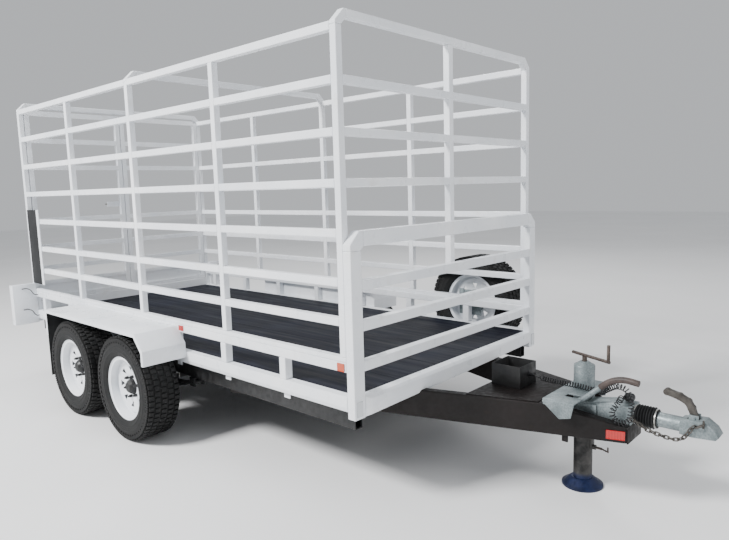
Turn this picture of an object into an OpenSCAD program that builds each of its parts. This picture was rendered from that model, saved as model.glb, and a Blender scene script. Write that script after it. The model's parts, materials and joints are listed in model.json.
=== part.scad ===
// Tandem-axle livestock trailer: flat floor, welded slat crate with rear swing gates, A-frame
// drawbar with an override coupling and a winding jack. +X forward, +Y left, +Z up.
// The origin is on the ground under the middle of the whole trailer.

/* [Body] */
// Width over the body and the crate
body_w = 1800; // [1560:10:2200]
// Length of the crate over its end posts
crate_len = 3890; // [3700:10:4700]
// Height of the floor above the ground
floor_h = 570; // [560:5:690]
// Thickness of the floor sheets
floor_t = 12; // [6:1:20]
// Height of the body's side above the floor
side_h = 174; // [150:2:240]
// Section of the square tube in the body's sides
side_bar = 50; // [40:5:60]
// Wall of the steel tubes
wall = 2.5; // [2:0.5:4]

/* [Crate] */
// Section of the crate's square tube
bar = 40; // [30:2:46]
// Height of the crate's thin bottom rail
base_t = 24; // [16:2:40]
// Clear height of the two lowest gaps
low_gap = 150; // [120:5:190]
// Clear height of the five upper gaps
high_gap = 194; // [150:2:240]
// How far the hoops stand above the top side rails
hoop_rise = 58; // [45:1:80]

/* [Headboard and gates] */
// Face width of the headboard's tube
head_face = 75; // [60:5:90]
// Depth of the headboard's tube
head_depth = 50; // [40:5:60]
// Height of the headboard above the floor
head_h = 802; // [760:2:840]
// Leg of the headboard's bevelled corners
head_bevel = 62; // [50:2:80]
// Clearance round the rear gates
gate_gap = 5; // [4:1:10]
// Height of the rear sill above the floor
sill_h = 75; // [50:5:100]
// Radius of the gates' hinge pins
pin_r = 8; // [6:1:10]

/* [Running gear] */
// Outer radius of the tyres
tyre_r = 340; // [330:5:350]
// Width of the tyres
tyre_w = 225; // [205:5:235]
// Radius of the wheel rims at their lip
rim_r = 207; // [190:1:225]
// Distance between the two axles
axle_gap = 765; // [740:5:820]
// How far the tyres stand out from the body's side
tyre_off = 288; // [284:2:320]
// Radius of the axle's spindles
spindle_r = 20; // [16:1:24]
// Radial clearance of the hubs on their spindles
run_fit = 0.05; // [0.01:0.01:0.1]

/* [Drawbar and coupling] */
// Length from the crate's front face to the drawbar's tip
drawbar_len = 1028; // [980:4:1180]
// Height of each of the drawbar's two stacked tubes
rail_h = 76; // [60:2:80]
// Width of the drawbar's tubes
rail_w = 50; // [40:5:60]
// Half width of the drawbar over its tip
tip_half = 88; // [84:2:110]
// Sideways spread of each rail per unit of length
spread = 0.33; // [0.3:0.01:0.4]
// Radius of the sliding draw tube
draw_r = 30; // [26:1:32]
// Radius of the ball socket in the coupling head
ball_r = 25.4; // [23:0.1:30]

/* [Jack] */
// Radius of the jack's outer tube
jack_r = 52; // [40:1:52]
// Radius of the jack's foot
foot_r = 104; // [80:2:120]
// Sideways place of the jack
jack_y = 72; // [60:2:76]

/* [Hidden] */
$fn = 48;

sides = [-1, 1];
half_w = body_w / 2;
eps = 0.01;
weld = 0.2;                                   // root gap left at the welded butt joints
plate = 6;                                    // thickness of the small welded plates
skin = 3;                                     // thickness of folded sheet

// Heights
cross_h = 64;                                 // floor bearers
frame_top = floor_h - floor_t - cross_h;      // top of the chassis rails and the drawbar
crate_z0 = floor_h + side_h;                  // underside of the crate
slat_z0 = crate_z0 + base_t;
slat_z = [for (i = [0:6])                     // undersides of the seven slats, lowest first
    slat_z0 + (i < 2 ? (i + 1) * low_gap : 2 * low_gap + (i - 1) * high_gap) + i * bar];
top_z = slat_z[6] + bar;                      // top of the side slats
hoop_top = top_z + hoop_rise;
bevel_k = bar * (sqrt(2) - 1);
post_top = hoop_top - hoop_rise - bevel_k;    // where the hoops' bevelled corners begin
rail_z1 = frame_top - rail_h;                 // seam between the drawbar's stacked tubes
rail_z0 = frame_top - 2 * rail_h;             // underside of the drawbar

// Lengths
bays = 4;
bay = (crate_len - bar) / bays;
slat_y = half_w - bar;
strip_x = -crate_len + 250;                   // front edge of the rubber strip
tip_x = drawbar_len;
nose_x = tip_x + 370;                         // front of the coupling head
tail_x = -crate_len - 46;                     // back of the gate bolt and hinges
shift = -(nose_x + tail_x) / 2;

// Chassis
chassis_w = 50;
chassis_y = half_w - 100;                     // inner face of the chassis rails
chassis_h = 100;
upright_gap = 533;
uprights = floor((crate_len - 2 * side_bar) / upright_gap);
join_x = tip_x - (chassis_y - 5 - tip_half) / spread;   // back end of the A-frame rails

// Running gear
axle_z = tyre_r;
bogie_x = -crate_len * 0.5456;                // middle of the two axles
front_x = bogie_x + axle_gap / 2;
rear_x = bogie_x - axle_gap / 2;
wheel_y = half_w + tyre_off - tyre_w / 2;     // middle plane of the tyres
spring_y = chassis_y + chassis_w / 2;
spring_half = 310;                            // half the length of a spring between its eyes
camber = 45;
leaf_t = 8;
leaf_w = 60;
leaf_r = (spring_half * spring_half + camber * camber) / (2 * camber);
axle_bar = 40;
leaf_top = axle_z - axle_bar / 2 - 0.3;       // the springs hang under the axles
eye_z = leaf_top - leaf_t / 2 + camber;
eye_r = 17;
eye_pin_r = 8;

// Fenders
fender_top = crate_z0 - 12;
fender_out = half_w + tyre_off + 5;
fender_front = front_x + 323;
fender_back = rear_x - 365;
fender_drop = 98;                             // height of the sloped front
fender_run = 88;
fender_skirt = 192;                           // depth of the front and rear skirts

// Gates
gate_x = -crate_len;                          // outer face of the gates
hinge_x = gate_x - 16;
hinge_y = slat_y - gate_gap / 2;
hinge_z = [slat_z[0] - 60, slat_z[3] - 100, slat_z[6] - 110];
knuckle_h = 60;
knuckle_r = pin_r + 6;
gate_half = slat_y - gate_gap;                // outer edge of each gate from the middle
gate_mid = 4;                                 // inner edge of each gate from the middle
gate_z0 = floor_h + sill_h + 5;
kick_top = slat_z0 + 22;                      // underside of the rail above the kick sheet
bolt_r = 8;
bolt_z = slat_z[3] - 92;
bolt_x = gate_x - 16;

// Coupling
draw_z = rail_z1 + 47;
casing_x0 = tip_x - 216;
casing_x1 = tip_x + 5;
casing_half = 60;
guide_x0 = casing_x1 - 26;                    // bush for the draw tube
draw_x0 = casing_x0 + 125;                     // back end of the draw tube, clear inside the casing
neck_x = casing_x1 + 105;
socket_x = nose_x - 50;
latch_pos = [socket_x - 56, draw_z + 45];
lever_pos = [tip_x - 268, rail_z1 + 49];
lever_y = -98;

// Jack
jack_x = tip_x - 276;
jack_top = frame_top + 150;
jack_low = rail_z1 + 17;                      // lower end of the outer tube
leg_top = jack_top - 139;                     // the leg slides up by 130 mm
pin_z = 216;
crank_z = jack_top + 48;
crank_turn = -22;
foot_h = 46;

// Spare wheel on the left side
spare_x = -480;
spare_z = slat_z0 - 60;
spare_y = half_w + 128;

// Cord, chain and lamp cable routes, in the frame of the crate's front face
cord_r = 15;
ring_mid = [1002, -97, 484];                  // the cord's last turn, beside the coupling
ring_r = 42;
cord_route = concat([[486, 0, 560], [540, -2, 556], [600, -6, 552], [680, -8, 552],
    [752, -8, 552], [820, -10, 548], [880, -24, 552], [924, -48, 580], [966, -62, 604],
    [1010, -72, 602], [1038, -84, 570], [1046, -92, 526]],
    [for (a = [0:-37.5:-225]) ring_mid + ring_r * [cos(a), 0, sin(a)]],
    [[985, -78, 537], [983, -46, 546], [988, -14, 541]]);
chain_r = 11;
chain_route = [[1033.3, -68, 462], [1052, -70, 460], [1082, -66, 441], [1111, -62, 425],
               [1176, -60, 412], [1229, -60, 409], [1262, -60, 424], [1284, -58, 456],
               [1300, -54, 484], [1322, -53.3, 496]];
lamp_r = 4;

// Small helpers -------------------------------------------------------------------------

module placed() translate([shift, 0, 0]) children();

// Box between two corners
module block(a, b) translate(a) cube(b - a);

// Square tube between two corners, open along one axis
module tube(a, b, along, t = wall) {
    skip = [for (i = [0:2]) i == along ? -1 : t];
    root = [for (i = [0:2]) i == along ? weld : 0];
    difference() {
        block(a + root, b - root);
        block(a + skip, b - skip);
    }
}

// Tube with its mirror image on the other side
module both_sides() {
    children();
    mirror([0, 1, 0]) children();
}

module rod(p, axis, len, r) translate(p) rotate(axis) cylinder(h = len, r = r);
along_x = [0, 90, 0];
along_y = [-90, 0, 0];

// Bevelled corner of a loop of tube, seen from the front: outer side at y, top at z
module bevel(x0, depth, y, z, face, leg) {
    k = face * (sqrt(2) - 1);
    translate([x0 + depth, 0, 0]) rotate([90, 0, -90]) mirror([1, 0, 0])
        linear_extrude(depth) polygon([[y, z - leg - k], [y, z - leg], [y - leg, z],
            [y - leg - k, z], [y - leg - k, z - face], [y - face, z - leg - k]]);
}

// Outline in the X-Z plane, from y0 to y1
module profile(y0, y1) translate([0, y1, 0]) rotate([90, 0, 0]) linear_extrude(y1 - y0)
    children();

// Flat strap through points, with a slightly wider round boss at each
module strap(pts, t) {
    for (p = pts) translate(p) circle(d = t + 4);
    for (i = [0:len(pts) - 2]) {
        d = pts[i + 1] - pts[i];
        translate(pts[i]) rotate(atan2(d.y, d.x)) translate([0, -t / 2]) square([norm(d), t]);
    }
}

// Smooth curve through points, and a round tube along it
function blend(a, b, c, d, t) = 0.5 * (2 * b + (c - a) * t + (2 * a - 5 * b + 4 * c - d) * t * t
    + (3 * b - a - 3 * c + d) * t * t * t);
function curve(p, n) = concat([for (i = [0:len(p) - 2], k = [0:n - 1])
    blend(p[max(i - 1, 0)], p[i], p[i + 1], p[min(i + 2, len(p) - 1)], k / n)], [p[len(p) - 1]]);
function unit(v) = v / norm(v);
module hose(route, r, steps, around, ref) {
    c = curve(route, steps);
    n = len(c);
    ring = [for (i = [0:n - 1]) let (t = unit(c[min(i + 1, n - 1)] - c[max(i - 1, 0)]),
        s = unit(cross(ref, t)), u = cross(t, s))
        for (k = [0:around - 1]) c[i] + r * (cos(360 * k / around) * s + sin(360 * k / around) * u)];
    walls = [for (i = [0:n - 2], k = [0:around - 1]) let (j = (k + 1) % around)
        [i * around + k, (i + 1) * around + k, (i + 1) * around + j, i * around + j]];
    ends = [[for (k = [0:around - 1]) k], [for (k = [around - 1:-1:0]) (n - 1) * around + k]];
    polyhedron(ring, concat(walls, ends), convexity = 6);
}

// Half width of the drawbar's outer and inner faces at a given place
function frame_half(x) = tip_half + spread * (tip_x - x);
slant = atan(spread);
rail_across = rail_w / cos(slant);

// Chassis and body ----------------------------------------------------------------------

module chassis_frame() placed() color("#26282b") {
    both_sides() tube([-crate_len + 40, chassis_y, frame_top - chassis_h],
                      [-weld, chassis_y + chassis_w, frame_top], 0, 4);
    bearers = 8;
    first = 60;
    run = crate_len - first - 50 - side_bar;
    for (i = [0:bearers - 1]) {
        x = -first - i * run / (bearers - 1);
        tube([x - side_bar, side_bar - half_w, frame_top + weld],
             [x, half_w - side_bar, frame_top + cross_h], 1, 3);
    }
}

// Lower side rails: a tube over a smaller edge strip, with tie-down tabs under it; the left
// tabs stand a little further back than the right ones
module side_rails() placed() color("#e9ebee") {
    side_rail();
    mirror([0, 1, 0]) side_rail();
    tabs(12);
    mirror([0, 1, 0]) tabs(0);
}
module tabs(back) for (i = [1:uprights]) translate([-i * upright_gap + 57 - back, half_w - 30,
    frame_top + 4]) difference() {
    block([-25, 0, -34], [25, plate, -weld]);
    rod([0, -10, -18], along_y, 30, 8);
}
module side_rail() {
    top = floor_h + 5;
    low = frame_top + 4;
    tube([-crate_len + 50, half_w - side_bar, top - side_bar],
         [0, half_w, top], 0);
    tube([-crate_len + 50, half_w - side_bar, low],
         [0, half_w - 4, top - side_bar - 5], 0);
    block([-crate_len + lamp_d + 0.3, half_w - side_bar, top - side_bar - 5],
          [0, half_w + 3, top - side_bar]);
}

// Five lengthwise boards
module floor() placed() color("#1b1d26") {
    boards = 5;
    board = (body_w - 2 * side_bar) / boards;
    for (i = [0:boards - 1])
        block([-crate_len + 50, side_bar - half_w + i * board + 1, floor_h - floor_t],
              [0, side_bar - half_w + (i + 1) * board - 1, floor_h]);
}

// Top rails of the body's sides on their uprights
module body_rails() placed() color("#eceef1") both_sides() {
    tube([-crate_len + 50, half_w - side_bar, crate_z0 - side_bar], [0, half_w, crate_z0], 0);
    for (i = [1:uprights])
        tube([-i * upright_gap + 32, half_w - side_bar, floor_h + 5],
             [-i * upright_gap + 32 + side_bar, half_w, crate_z0 - side_bar], 2);
}

module headboard() placed() color("#e6e8eb") {
    k = head_face * (sqrt(2) - 1);
    z = floor_h + head_h;
    both_sides() {
        tube([0, half_w - head_face, frame_top - 30],
             [head_depth, half_w, z - head_bevel - k], 2);
        bevel(0, head_depth, half_w, z, head_face, head_bevel);
    }
    y = half_w - head_bevel - k;
    tube([0, -y, z - head_face], [head_depth, y, z], 1);
    in_y = half_w - head_face;
    for (i = [1:3]) {
        low = floor_h + 5 + i * 197 - 79;
        tube([0, -in_y, low], [head_depth, in_y, low + 50], 1);
    }
}

// Beam across the front of the floor, its lip, the ends of three bearers and a gusset
module front_beam() placed() color("#e6e8eb") {
    y = half_w - head_face;
    top = floor_h;
    tube([0, -y, top - 50], [head_depth, y, top], 1);
    block([0, -y, top - 54], [head_depth + 3, y, top - 50]);
    tube([0, -y, frame_top], [head_depth - 4, y, top - 54], 1);
    for (s = [-760, -221, 318] * half_w / 900)
        block([head_depth + 3, s - 35, frame_top + 2], [head_depth + 17, s + 35, top - 14]);
    block([head_depth - 4, -y, frame_top - 26], [head_depth, -y + 30, top - 54]);
}

module rear_frame() placed() color("#e6e8eb") {
    both_sides() tube([-crate_len, half_w - bar, frame_top - 24],
                      [-crate_len + 50, half_w, crate_z0], 2);
    tube([-crate_len, bar - half_w, floor_h], [-crate_len + 50, half_w - bar, floor_h + sill_h], 1);
    tube([-crate_len, bar - half_w, frame_top], [-crate_len + 50, half_w - bar, floor_h], 1);
}

// Crate ---------------------------------------------------------------------------------

module crate_side() {
    block([-crate_len, slat_y, crate_z0], [0, half_w, slat_z0]);
    for (i = [0:bays]) {
        hooped = i % 2 == 0;
        x = -i * bay;
        tube([x - bar, slat_y, slat_z0], [x, half_w, hooped ? post_top : slat_z[6]], 2);
    }
    for (i = [0:bays - 1], k = [0:5])
        tube([-(i + 1) * bay, slat_y, slat_z[k]], [-i * bay - bar, half_w, slat_z[k] + bar], 0);
    for (i = [0:1])
        tube([-2 * (i + 1) * bay, slat_y, slat_z[6]], [-2 * i * bay - bar, half_w, top_z], 0);
}
module crate_right() placed() color("#f1f3f6") mirror([0, 1, 0]) {
    crate_side();
    // edge of the rubber strip
    block([strip_x, half_w + weld, slat_z0 + 50], [strip_x + 40, half_w + 12, slat_z0 + 694]);
}
module crate_left() placed() color("#f1f3f6") crate_side();

module crate_hoops() placed() color("#e9ecf0") for (i = [0:2]) {
    x = -2 * i * bay - bar;
    y = half_w - hoop_rise - bevel_k;
    both_sides() bevel(x, bar, half_w, hoop_top, bar, hoop_rise);
    tube([x, -y, hoop_top - bar], [x + bar, y, hoop_top], 1);
}

// Slats across the front above the headboard, in two halves beside a middle post
module crate_front_grid() placed() color("#e9ecf0") {
    tube([-bar, -bar / 2, floor_h + 5 + 197 * 3 - 79], [0, bar / 2, hoop_top - bar], 2);
    both_sides() for (k = [3:5])
        tube([-bar, bar / 2, slat_z[k]], [0, slat_y, slat_z[k] + bar], 1);
}

// Rubber strip over the rear end of the right side
module rubber_strip() placed() color("#17191b") mirror([0, 1, 0])
    block([-crate_len + 44, half_w, slat_z0 + 50], [strip_x, half_w + 8, slat_z0 + 694]);

// Gates ---------------------------------------------------------------------------------

// Hinge knuckle or lug round the pin's axis, with a tongue towards +Y or -Y
module lug(z, h, toward, bore) difference() {
    union() {
        rod([hinge_x, 0, z], [0, 0, 0], h, knuckle_r);
        block([hinge_x - 4, min(0, toward * 30), z], [gate_x - weld, max(0, toward * 30), z + h]);
    }
    rod([hinge_x, 0, z - 1], [0, 0, 0], h + 2, bore);
}

// The right-hand gate; the left one is its mirror image apart from the bolt
module gate_leaf() {
    x0 = gate_x;
    x1 = gate_x + bar;
    mid = -gate_mid - bar;
    out = -gate_half + bar;
    tube([x0, -gate_half, gate_z0], [x1, out, post_top - 2], 2);
    tube([x0, mid, gate_z0], [x1, -gate_mid, top_z], 2);
    for (k = [0:6]) tube([x0, out, slat_z[k]], [x1, mid, slat_z[k] + bar], 1);
    tube([x0, out, gate_z0], [x1, mid, gate_z0 + 32], 1);
    tube([x0, out, kick_top], [x1, mid, kick_top + 32], 1);
    block([x0 + 18, out + weld, gate_z0 + 32 + weld], [x0 + 20, mid - weld, kick_top - weld]);
    for (z = hinge_z) translate([0, -hinge_y, 0]) lug(z, knuckle_h, 1, pin_r + run_fit);
}

module bolt_guide(y0, y1, bore) difference() {
    union() {
        rod([bolt_x, y0, bolt_z], along_y, y1 - y0, bolt_r + 5);
        block([bolt_x, y0, bolt_z - 10], [gate_x - 4, y1, bolt_z + 10]);
    }
    rod([bolt_x, y0 - 1, bolt_z], along_y, y1 - y0 + 2, bore);
}

module gate_right() placed() color("#eceff2") {
    gate_leaf();
    block([gate_x - 4, -gate_mid - 156, bolt_z - 24], [gate_x - weld, -gate_mid, bolt_z + 24]);
    bolt_guide(-gate_mid - 150, -gate_mid - 120, bolt_r + run_fit);
    bolt_guide(-gate_mid - 40, -gate_mid - 6, bolt_r + run_fit);
}

module gate_left() placed() color("#eceff2") {
    mirror([0, 1, 0]) gate_leaf();
    // staple that takes the bolt: a plate, two cheeks and an outer bar
    slack = bolt_r + 0.6;
    block([gate_x - 4, gate_mid, bolt_z - 24], [gate_x - weld, gate_mid + bar, bolt_z + 24]);
    for (z = [bolt_z - slack - 6, bolt_z + slack])
        block([bolt_x - slack, gate_mid + 4, z], [gate_x - 4 - weld, gate_mid + 36, z + 6]);
    block([bolt_x - slack - 6, gate_mid + 4, bolt_z - slack - 6],
          [bolt_x - slack - weld, gate_mid + 36, bolt_z + slack + 6]);
}

// Pins on lugs welded to the rear posts
module gate_hinges() placed() color("#d9dcdf") both_sides() for (z = hinge_z) {
    translate([0, hinge_y, 0]) lug(z - 24, 23.7, 1, eps);
    rod([hinge_x, hinge_y, z - 24], [0, 0, 0], knuckle_h + 34, pin_r);
}

module gate_bolt() placed() color("#aeb3b6") {
    rod([bolt_x, -gate_mid - 170, bolt_z], along_y, 166, bolt_r);
    rod([bolt_x - 30, -gate_mid - 100, bolt_z], along_x, 30, 6);
}

// Fenders, flaps and lamps --------------------------------------------------------------

function fender_line(t) = [[fender_front - t, fender_top - fender_skirt - t],
    [fender_front - t, fender_top - fender_drop - t / 2],
    [fender_front - fender_run - t / 2, fender_top - t],
    [fender_back + t, fender_top - t], [fender_back + t, fender_top - fender_skirt - t]];

module fender(s) {
    y0 = half_w;
    both = s > 0 ? [0, 0, 0] : [0, 1, 0];
    mirror(both) union() {
        profile(y0, fender_out) difference() {
            polygon(fender_line(0));
            polygon(fender_line(skin));
        }
        profile(fender_out - skin, fender_out) difference() {
            polygon(fender_line(0));
            polygon(fender_line(24));
        }
        profile(y0, y0 + skin) polygon(fender_line(0));
    }
}
module fender_right() placed() color("#f2f4f6") fender(-1);
module fender_left() placed() color("#f2f4f6") fender(1);

module mud_flaps() placed() color("#141517") both_sides()
    block([fender_back + skin, half_w + 8, 225], [fender_back + skin + 5, fender_out - 8,
        fender_top - 34]);

lamp_x = -crate_len;
lamp_w = 195;
lamp_d = 70;
lamp_top = crate_z0 + 70;
lamp_low = frame_top - 28;

// Folded housings with a slot in the back for the lamp and an open bottom
module light_housings() placed() color("#eef0f2") both_sides() difference() {
    block([lamp_x, half_w, lamp_low], [lamp_x + lamp_d, half_w + lamp_w, lamp_top]);
    block([lamp_x + skin, half_w + skin, lamp_low - 1],
          [lamp_x + lamp_d - skin, half_w + lamp_w - skin, lamp_top - skin]);
    block([lamp_x - 1, half_w + 25, lamp_low + 60],
          [lamp_x + skin + 1, half_w + lamp_w - 25, lamp_top - 40]);
}

module light_lenses() placed() color("#b3151b") both_sides() {
    third = (lamp_top - 40 - lamp_low - 60 - 2) / 3;
    for (i = [0:2])
        block([lamp_x - 6, half_w + 25.3, lamp_low + 60.3 + i * third],
              [lamp_x + 34, half_w + lamp_w - 25.3, lamp_low + 60 + (i + 1) * third]);
}

module light_cables() placed() color("#101112") both_sides() for (z = [crate_z0 + 34, crate_z0 - 150])
    hose([[lamp_x + lamp_d + 0.2, half_w + 118, z], [lamp_x + 86, half_w + 116, z + 2],
          [lamp_x + 98, half_w + 92, z + 4], [lamp_x + 100, half_w + 60, z - 14],
          [lamp_x + 98, half_w + 42, z - 44], [lamp_x + 94, half_w + 22, z - 60],
          [lamp_x + 92, half_w + 0.3, z - 62]],
         lamp_r, 3, 8, [0, 0.2, 1]);

module plate_bracket() placed() color("#23262a") difference() {
    union() {
        block([lamp_x - 3, -620, frame_top - 96], [lamp_x, -250, frame_top + 30]);
        block([lamp_x - 3, -620, frame_top + 27], [lamp_x, -250, frame_top + 60]);
    }
    for (y = [-560, -310]) rod([lamp_x - 10, y, frame_top - 40], along_x, 20, 3.5);
}

// Blank reflectors: clear in front, amber and red on the sides, red on the drawbar
module reflectors() placed() color("#d2432c") {
    both_sides() {
        block([head_depth, half_w - 52, frame_top - 14], [head_depth + 5, half_w - 12, frame_top + 60]);
        block([-58, half_w, crate_z0 - side_bar + 4], [-12, half_w + 6, crate_z0 - 6]);
        block([fender_front - 61, half_w, fender_top - 25],
              [fender_front - 11, half_w + 6, fender_top + 8]);
    }
    for (s = sides) scale_rail(s) translate([-92, 0, rail_h / 2 - 22])
        cube([84, 5, 44]);
}

// Frame on the outer face of a lower drawbar rail, at its tip, X along the rail
module scale_rail(s) mirror([0, s < 0 ? 1 : 0, 0])
    translate([tip_x, tip_half, rail_z0]) rotate(-slant) children();

// Drawbar -------------------------------------------------------------------------------

// One straight rail between two places, cut square across the trailer at its ends
module slanted(x0, x1_low, x1_top, z0, h) difference() {
    intersection() {
        translate([tip_x, tip_half, z0]) rotate(-slant) translate([-3000, -rail_w, 0])
            difference() {
                cube([3200, rail_w, h]);
                translate([-1, 3, 3]) cube([3202, rail_w - 6, h - 6]);
            }
        profile(-10, half_w) polygon([[x0, z0], [x1_low, z0], [x1_top, z0 + h], [x0, z0 + h]]);
    }
}

module drawbar() placed() color("#2a2422") both_sides() {
    slanted(join_x, tip_x, tip_x, rail_z0, rail_h);
    slanted(join_x, tip_x - 276, tip_x - 352, rail_z1, rail_h);
}

// Tip plate under the coupling, cross plate, nose plate and a lug for the stay
module drawbar_plates() placed() color("#2b2523") {
    difference() {
        block([tip_x - 216, -tip_half - 12, rail_z1], [tip_x + 5, tip_half + 12, rail_z1 + 8]);
        for (s = sides) rod([tip_x - 60, s * 76, rail_z1 - 1], [0, 0, 0], 10, 6);
    }
    block([tip_x, -tip_half, rail_z0], [tip_x + 6, tip_half, rail_z1]);
    difference() {
        translate([0, 0, frame_top]) linear_extrude(4) polygon([
            [290, -frame_half(290) + 12], [tip_x - 390, -frame_half(tip_x - 390) + 12],
            [tip_x - 390, frame_half(tip_x - 390) - 12], [290, frame_half(290) - 12]]);
    }
    block([tip_x - 288, -frame_half(tip_x - 270) + 20, rail_z0 - 36],
          [tip_x - 258, -frame_half(tip_x - 270) + 28, rail_z0]);
}

module drawbar_tray() placed() color("#222427") {
    z = frame_top + 4;
    difference() {
        block([310, -96, z], [480, 80, z + 118]);
        block([314, -92, z + 4], [476, 76, z + 120]);
    }
}

// Suspension ----------------------------------------------------------------------------

function eye_x(x, e) = x + e * spring_half;

module spring_hangers() placed() color("#1d1f21") both_sides() {
    z1 = frame_top - chassis_h;
    for (p = [[eye_x(front_x, 1), eye_z], [bogie_x, eye_z + 4], [eye_x(rear_x, -1), eye_z]])
        for (y = [spring_y - leaf_w / 2 - 7, spring_y + leaf_w / 2 + 1]) difference() {
            block([p.x - 28, y, p.y - 24], [p.x + 28, y + plate, z1]);
            rod([p.x, y - 1, p.y], along_y, 10, eye_pin_r);
        }
    for (x = [eye_x(front_x, 1), bogie_x, eye_x(rear_x, -1)])
        block([x - 28, spring_y - leaf_w / 2 - 1, z1 - plate], [x + 28, spring_y + leaf_w / 2 + 1, z1]);
    for (p = [[eye_x(front_x, 1), eye_z], [bogie_x, eye_z + 4], [eye_x(rear_x, -1), eye_z]])
        rod([p.x, spring_y - 44, p.y], along_y, 88, eye_pin_r - 0.2);
}

// Leaf packs: concentric arcs under each axle, the longest one with eyes
module leaf_springs() placed() color("#232527") both_sides() for (x = [front_x, rear_x]) {
    reach = [spring_half, 220, 140];
    profile(spring_y - leaf_w / 2, spring_y + leaf_w / 2) difference() {
        union() {
            translate([x, 0]) intersection() {
                translate([0, leaf_top + leaf_r - leaf_t]) difference() {
                    circle(r = leaf_r, $fn = 360);
                    circle(r = leaf_r - leaf_t, $fn = 360);
                }
                translate([-reach[0], 0]) square([2 * reach[0], eye_z + 60]);
            }
            for (e = sides) translate([eye_x(x, e), eye_z]) circle(r = eye_r);
        }
        for (e = sides) translate([eye_x(x, e), eye_z]) circle(r = eye_pin_r);
    }
    for (i = [1:2]) profile(spring_y - leaf_w / 2, spring_y + leaf_w / 2)
        translate([x, 0]) intersection() {
            translate([0, leaf_top + leaf_r - leaf_t]) difference() {
                circle(r = leaf_r + i * leaf_t, $fn = 360);
                circle(r = leaf_r + (i - 1) * leaf_t, $fn = 360);
            }
            translate([-reach[i], 0]) square([2 * reach[i], eye_z + 60]);
        }
}

// Rocker beams that join the two springs of a side, with their bolts
module rockers() placed() color("#1d1f21") both_sides() {
    span = axle_gap / 2 - spring_half;
    for (y = [spring_y - leaf_w / 2 - 14, spring_y + leaf_w / 2 + 8]) profile(y, y + plate)
        difference() {
            strap([[bogie_x - span, eye_z], [bogie_x, eye_z + 4], [bogie_x + span, eye_z]], 40);
            for (p = [[-span, 0], [0, 4], [span, 0]])
                translate([bogie_x + p.x, eye_z + p.y]) circle(r = eye_pin_r);
        }
    for (e = sides) rod([bogie_x + e * span, spring_y - 48, eye_z], along_y, 96, eye_pin_r - 0.2);
}

// Square axle beams with spindles, and the brake back plates on them
module axles() placed() color("#1f2123") for (x = [front_x, rear_x]) {
    beam = wheel_y - 60;
    block([x - axle_bar / 2, -beam, axle_z - axle_bar / 2], [x + axle_bar / 2, beam, axle_z + axle_bar / 2]);
    for (s = sides) {
        translate([x, s * beam, axle_z]) rotate([-90 * s, 0, 0]) {
            cylinder(h = 112, r = spindle_r);
            translate([0, 0, 2]) difference() {
                cylinder(h = 6, r = 134);
                translate([0, 0, -1]) cylinder(h = 8, r = spindle_r + eps);
            }
        }
    }
}

module u_bolts() placed() color("#8f9496") both_sides() for (x = [front_x, rear_x]) {
    for (dx = [-29, 29], y = [spring_y - leaf_w / 2 - 6.5, spring_y + leaf_w / 2 + 6.5])
        rod([x + dx, y, leaf_top - 3 * leaf_t - 26], [0, 0, 0], 78 + axle_bar, 5);
    for (dx = [-29, 29]) block([x + dx - 5, spring_y - leaf_w / 2 - 11, leaf_top + axle_bar + 0.3],
        [x + dx + 5, spring_y + leaf_w / 2 + 11, leaf_top + axle_bar + 10]);
    block([x - 40, spring_y - leaf_w / 2 - 14, leaf_top - 3 * leaf_t - 10],
          [x + 40, spring_y + leaf_w / 2 + 14, leaf_top - 3 * leaf_t - 0.3]);
}

// Wheels --------------------------------------------------------------------------------

// Wheel frame: local +Z points out of the trailer on that side
module on_axle(x, s) placed() translate([x, s * wheel_y, axle_z]) rotate([-90 * s, 0, 0])
    children();

lip_z = tyre_w / 2 - 18;
bead_r = rim_r - 16;

module tyre() color("#17181a") {
    h = tyre_w / 2;
    inner = bead_r + 0.3;
    rotate_extrude($fn = 96) polygon([
        [inner, -h + 31], [rim_r + 0.4, -h + 27], [rim_r + 0.4, -h + 17], [rim_r + 4, -h + 14],
        [tyre_r * 0.72, -h + 1], [tyre_r * 0.78, -h],
        [tyre_r * 0.88, -h + 3], [tyre_r - 14, -h + 14], [tyre_r, -h + 34],
        [tyre_r, h - 34], [tyre_r - 14, h - 14], [tyre_r * 0.88, h - 3], [tyre_r * 0.78, h],
        [tyre_r * 0.72, h - 1], [rim_r + 4, h - 14], [rim_r + 0.4, h - 17], [rim_r + 0.4, h - 27],
        [inner, h - 31], [inner, h - 40],
        [rim_r + 10, h - 30], [tyre_r * 0.8, h - 14], [tyre_r - 24, h - 26],
        [tyre_r - 18, 0], [tyre_r - 24, -h + 26], [tyre_r * 0.8, -h + 14],
        [rim_r + 10, -h + 30], [inner, -h + 40]]);
}

disc_z = lip_z - 50;                          // outboard face of the disc's ring
disc_hub_z = 34;                              // outboard face of the disc's centre

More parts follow.
